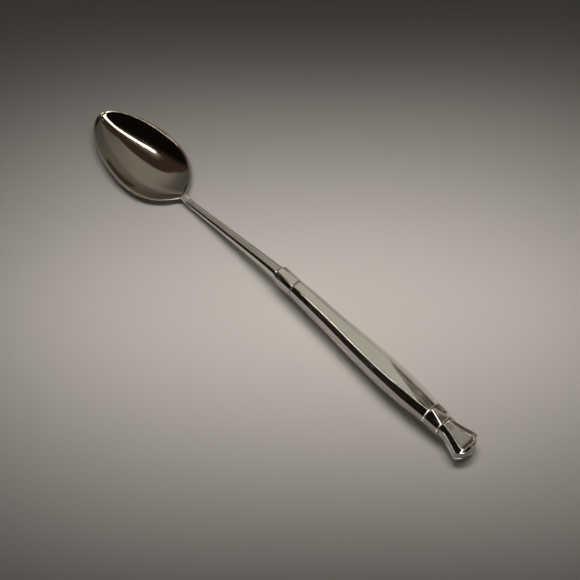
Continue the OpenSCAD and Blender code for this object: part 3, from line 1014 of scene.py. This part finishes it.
# The soft box over the table, its grid in degrees
BOX_PLACE, BOX_SIZES, BOX_POWER, BOX_SPREAD = (0.0205, 0.007, 0.26), (0.26, 0.045), 0.114, 57
# Half width and parts of the floor, and how far it lies below
FLOOR_HALF, FLOOR_PARTS, FLOOR_DROP = 3.0, 8, 0.02 * MM


def walls(made, x, y, z, px, py):
    """The room without its lamps: ceiling, bright wall with a dark thing beside it, dark front."""
    # Where the wall begins, as it shows in the bowl
    edge = high(low(0.5 + px, 0.33 + 2 * high(px + 0.03, 0.0)), 0.42 * px)
    # The wall is brightest opposite the camera and falls off to both sides
    bright = made.step(0 - x / high(y, 0.01), -0.1, 0.6) * 0.45
    shade = bright * (0.4 + 0.6 * made.step(px, -2.0, -1.0)) + 0.55
    shade = shade * (1 - 0.5 * made.step(0 - px, 0.5, 1.2) * (1 - made.step(py, 0.4, 1.4)))
    shade = shade * (1 - 0.35 * made.step(py, 1.8, 2.9))
    wall = made.mix((0.0, 0.0, 0.0), WALL, shade)
    colour = made.mix(CEILING, wall, made.step(py - edge, -0.04, 0.05))
    # A dark thing low beside the wall
    thing = (1 - made.step(z, 0.15, 0.2)) * made.step(y + 4.2 * x, 0.05, -0.05)
    thing = thing * made.step(y + 1.8 * x, -0.06, 0.06)
    colour = made.mix(colour, CEILING, thing)
    return made.mix(colour, FRONT, 1 - made.step(py - px * 0.25, -0.52, -0.36))


def room(context):
    """Soft even light from all round, and a plain room that shows in the polished metal."""
    world = bpy.data.worlds.new("Studio")
    context.scene.world = world
    world.use_nodes = True
    made = Tree(world.node_tree)
    x, y, z = made.split(made.add("ShaderNodeTexCoord", out="Generated"))
    lift = high(z, HORIZON)
    # Places on a plane overhead: along the spoon, and across it to the far side
    px, py = x / lift, y / lift
    colour = walls(made, x, y, z, px, py)
    # A long lamp, bent in the picture
    side = px - 0.17
    offset = (py + 0.12 + 0.42 * root(side * side + 0.02) - 0.18 * side) * lift
    away = norm(offset, 0.0) - 0.06 * low(px + 0.06, 1.2)
    # A soft glow beside the lamp, towards the near end of it
    glow = made.step(offset, 0.0, 0.03) * (1 - made.step(offset, 0.04, 0.24))
    glow = glow * made.step(px, -0.42, -0.3) * (1 - made.step(px, -0.05, 0.25))
    colour = made.mix(colour, GLOW, glow * 0.8)
    strip = (1 - made.step(away, 0.035, 0.05)) * made.step(px, -0.33, -0.27)
    # A small dim lamp, and a low one that lights the front groove of the knot
    small_lamp = 1 - made.step(norm(px - 1.3, (py - 0.68) * 2.0), 0.22, 0.32)
    strip = high(strip, 0.4 * small_lamp)
    low_lamp = 1 - made.step(norm(py + 1.15, 0.0), 0.09, 0.13)
    low_lamp = low_lamp * made.step(px, -0.73, -0.67) * (1 - made.step(px, -0.41, -0.34))
    strip = high(strip, low_lamp)
    colour = made.mix(colour, LAMP, strip)
    strength = 1 + strip * LAMP_STRENGTH
    glossy = made.add("ShaderNodeLightPath", out="Is Glossy Ray")
    shown = made.add("ShaderNodeBackground", None, {"Color": colour, "Strength": strength})
    plain = made.add("ShaderNodeBackground", None, {"Color": SOFT, "Strength": SOFT_STRENGTH})
    both = made.add("ShaderNodeMixShader", None, {0: glossy, 1: plain, 2: shown})
    end = made.tree.nodes.new("ShaderNodeOutputWorld")
    made.tree.links.new(both.socket, end.inputs["Surface"])


def soft_box(turn):
    """Soft box with a grid, which looks straight down and doesn't show in the metal."""
    data = bpy.data.lights.new("Soft_light", "AREA")
    data.shape, data.energy, data.spread = "RECTANGLE", BOX_POWER, math.radians(BOX_SPREAD)
    data.size, data.size_y = BOX_SIZES
    data.color = (1.0, 0.975, 0.94)
    made = bpy.data.objects.new("Soft_light", data)
    made.location = BOX_PLACE
    made.rotation_euler = (0, 0, turn)
    made.visible_glossy = False
    bpy.context.scene.collection.objects.link(made)


class SPOON_OT_stage(bpy.types.Operator):
    """Floor, light and camera"""

    bl_idname = "spoon.stage"
    bl_label = "Stage"

    def execute(self, context):
        material, made, place = new_material("Table top")
        grain = made.noise(place, scale=60.0, detail=3.0)
        colour = tuple(context.scene.spoon_finish.floor)
        darker = tuple(part * 0.97 for part in colour)
        end_material(made, {"Base Color": made.mix(darker, colour, grain), "Roughness": 0.8})
        n = FLOOR_PARTS
        lines = [blend(-FLOOR_HALF, FLOOR_HALF, i / n) for i in range(n + 1)]
        points = [(x, y, -FLOOR_DROP) for x in lines for y in lines]
        corners = [i * (n + 1) + j for i in range(n) for j in range(n)]
        faces = [(k, k + n + 1, k + n + 2, k + 1) for k in corners]
        mesh_object("Floor", points, faces, material)
        room(context)
        azimuth, elevation = math.radians(AZIMUTH), math.radians(ELEVATION)
        soft_box(azimuth)
        data = bpy.data.cameras.new("Camera")
        data.lens, data.sensor_width, data.clip_start = LENS, 36.0, 0.01
        camera = bpy.data.objects.new("Camera", data)
        level = math.cos(elevation)
        back = Vector((math.sin(azimuth) * level, -math.cos(azimuth) * level, math.sin(elevation)))
        camera.location = Vector(CAMERA_PLACE) * MM
        camera.rotation_euler = back.to_track_quat("Z", "Y").to_euler()
        context.scene.collection.objects.link(camera)
        context.scene.camera = camera
        context.scene.view_settings.view_transform = "Standard"
        return {"FINISHED"}


class SPOON_PT_panel(bpy.types.Panel):
    """Lists the spoon's pieces and sizes"""

    bl_idname = "SPOON_PT_panel"
    bl_label = "Iced tea spoon"
    bl_space_type = "VIEW_3D"
    bl_region_type = "UI"
    bl_category = "Spoon"

    def draw(self, context):
        for operator in OPERATORS:
            self.layout.operator(operator.bl_idname)
        for name, group in GROUPS.items():
            box = self.layout.box()
            for item in group.__annotations__:
                box.prop(getattr(context.scene, name), item)


OPERATORS = (
    SPOON_OT_bowl,
    SPOON_OT_ferrule,
    SPOON_OT_handle,
    SPOON_OT_solder,
    SPOON_OT_filler,
    SPOON_OT_stage,
)
CLASSES = (*GROUPS.values(), *OPERATORS, SPOON_PT_panel)


def register():
    for item in CLASSES:
        bpy.utils.register_class(item)
    for name, group in GROUPS.items():
        setattr(bpy.types.Scene, name, PointerProperty(type=group))


def unregister():
    for name in GROUPS:
        delattr(bpy.types.Scene, name)
    for item in reversed(CLASSES):
        bpy.utils.unregister_class(item)


def main():
    register()
    for operator in OPERATORS:
        group, name = operator.bl_idname.split(".")
        getattr(getattr(bpy.ops, group), name)()


if __name__ == "__main__":
    main()
